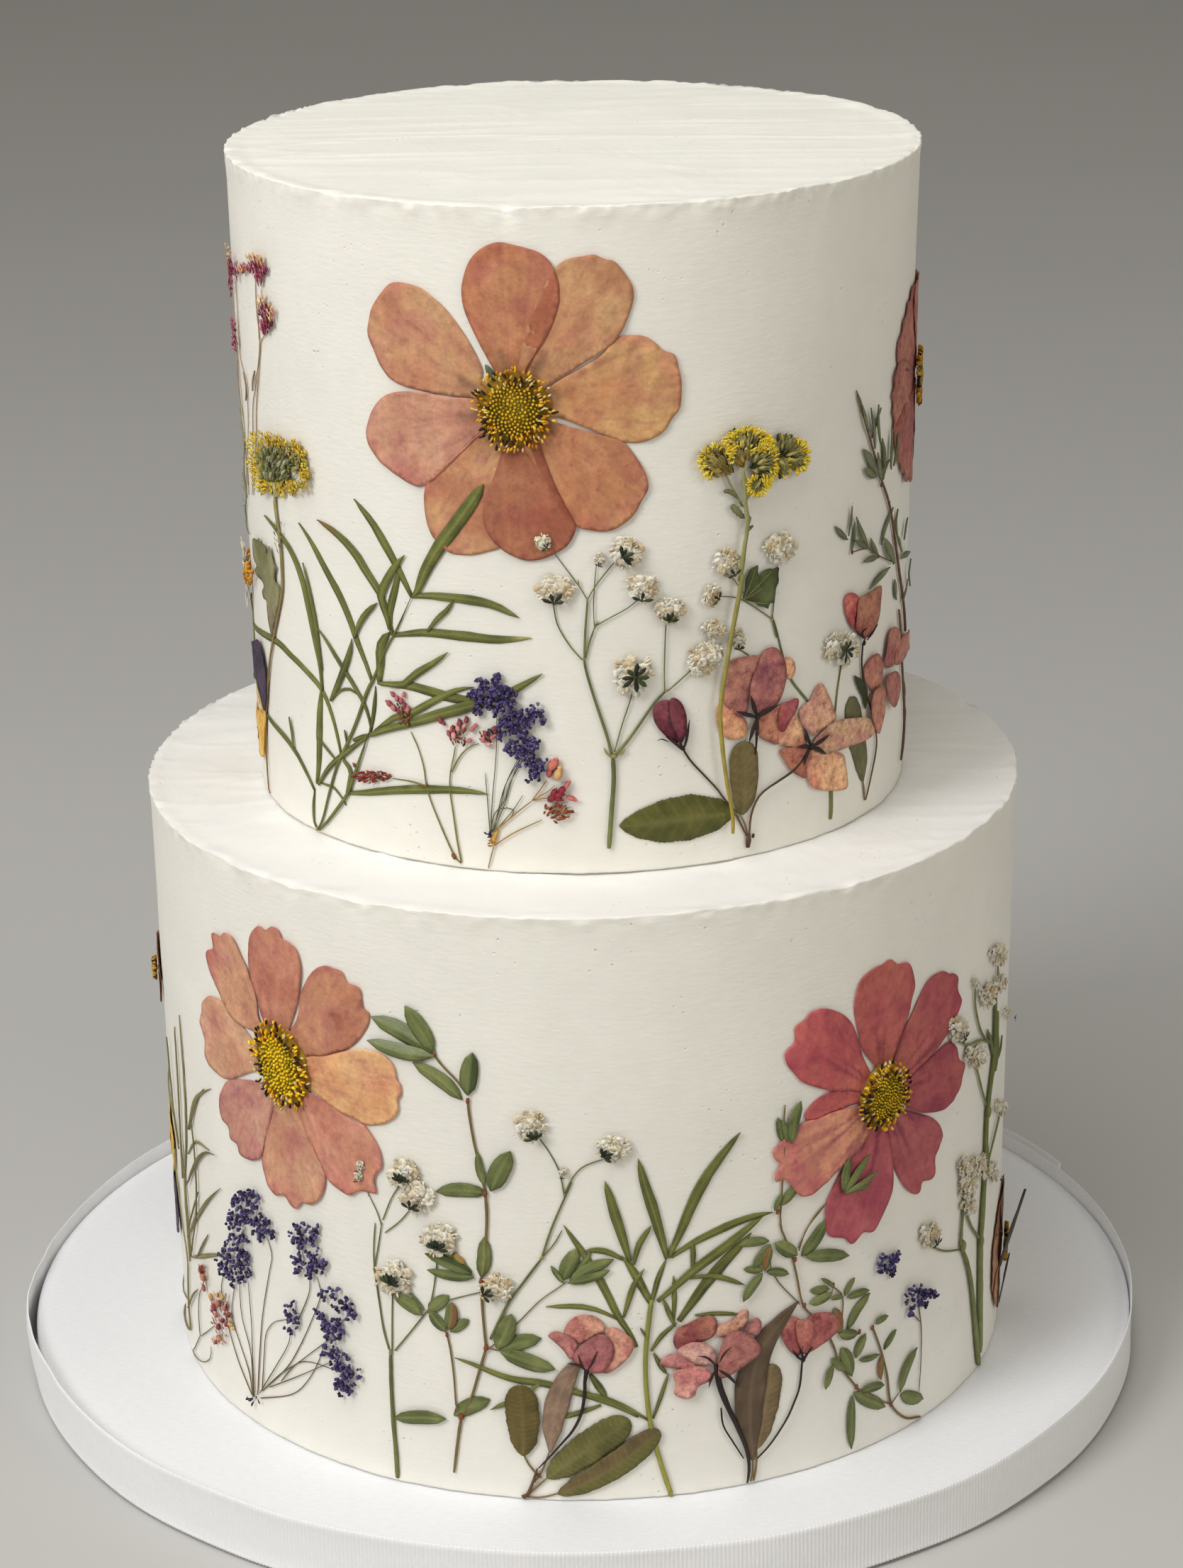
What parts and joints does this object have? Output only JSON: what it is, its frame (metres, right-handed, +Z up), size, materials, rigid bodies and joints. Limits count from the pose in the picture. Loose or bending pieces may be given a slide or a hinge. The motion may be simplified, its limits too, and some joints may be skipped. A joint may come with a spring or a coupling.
{
  "type": "wedding cake",
  "caption": "Two-tier round cake in ivory buttercream with pressed flowers and leaves laid on its walls, on a white drum board edged with ribbon.",
  "frame": {"origin": "middle of the board's underside, on the surface it stands on", "axes": "+Z up, the decorated front of the cake faces -Y"},
  "size_m": [0.2796, 0.2796, 0.3078],
  "materials": {
    "board_white": "satin",
    "ribbon_white": "satin",
    "icing_ivory": "matte",
    "petal_salmon": "matte",
    "petal_rose": "matte",
    "petal_peach": "matte",
    "yarrow_yellow": "matte",
    "leaf_green": "matte",
    "leaf_olive": "matte",
    "leaf_purple": "matte",
    "lace_violet": "matte",
    "persicaria_red": "matte",
    "gypsophila_cream": "matte",
    "viola_yellow": "matte"
  },
  "bodies": {
    "root": {"board": "board_white", "board_ribbon": "ribbon_white", "cosmos_leaf_lower": "leaf_green", "cosmos_leaf_lower_back": "leaf_green", "cosmos_leaf_upper": "leaf_green", "cosmos_leaf_upper_back": "leaf_green", "cosmos_lower_back_left": "petal_salmon", "cosmos_lower_back_right": "petal_rose", "cosmos_lower_left": "petal_salmon", "cosmos_lower_right": "petal_rose", "cosmos_upper": "petal_salmon", "cosmos_upper_back": "petal_rose", "cosmos_upper_right": "petal_salmon", "crabapple_bud_lower": "petal_peach", "crabapple_lower_mid": "petal_peach", "crabapple_lower_right": "petal_peach", "crabapple_upper_back": "petal_peach", "crabapple_upper_mid": "petal_peach", "crabapple_upper_right": "petal_peach", "daisy_upper_left": "gypsophila_cream", "flower_edge_lower_left": "petal_peach", "flower_edge_lower_right": "petal_peach", "grass_lower_left": "leaf_green", "gypsophila_lower_left": "gypsophila_cream", "gypsophila_lower_mid": "gypsophila_cream", "gypsophila_lower_right": "gypsophila_cream", "gypsophila_upper_back": "gypsophila_cream", "gypsophila_upper_mid": "gypsophila_cream", "gypsophila_upper_right": "gypsophila_cream", "lace_lower_back": "lace_violet", "lace_lower_left": "lace_violet", "lace_lower_right": "lace_violet", "lace_upper": "lace_violet", "leaf_edge_lower_right": "leaf_olive", "leaf_lower_brown_right": "leaf_olive", "leaf_lower_green": "leaf_green", "leaf_lower_long": "leaf_green", "leaf_lower_olive_mid": "leaf_olive", "leaf_lower_purple_mid": "leaf_purple", "leaf_lower_purple_right": "leaf_purple", "leaf_upper_green": "leaf_green", "leaf_upper_olive": "leaf_olive", "leaf_upper_right": "leaf_olive", "lobed_leaf_upper_left": "leaf_olive", "lobed_leaf_upper_right": "leaf_green", "lower_tier": "icing_ivory", "oval_leaf_sprig_lower": "leaf_green", "oval_leaf_sprig_lower_back": "leaf_green", "oval_leaf_sprig_lower_right": "leaf_green", "persicaria_lower_left": "persicaria_red", "persicaria_upper_left": "persicaria_red", "persicaria_upper_mid": "persicaria_red", "persicaria_upper_small": "persicaria_red", "sprig_upper_right": "leaf_green", "upper_tier": "icing_ivory", "viola_lower_left": "viola_yellow", "viola_upper_left": "viola_yellow", "yarrow_upper_back": "yarrow_yellow", "yarrow_upper_left": "yarrow_yellow", "yarrow_upper_right": "yarrow_yellow"}
  },
  "joints": []
}
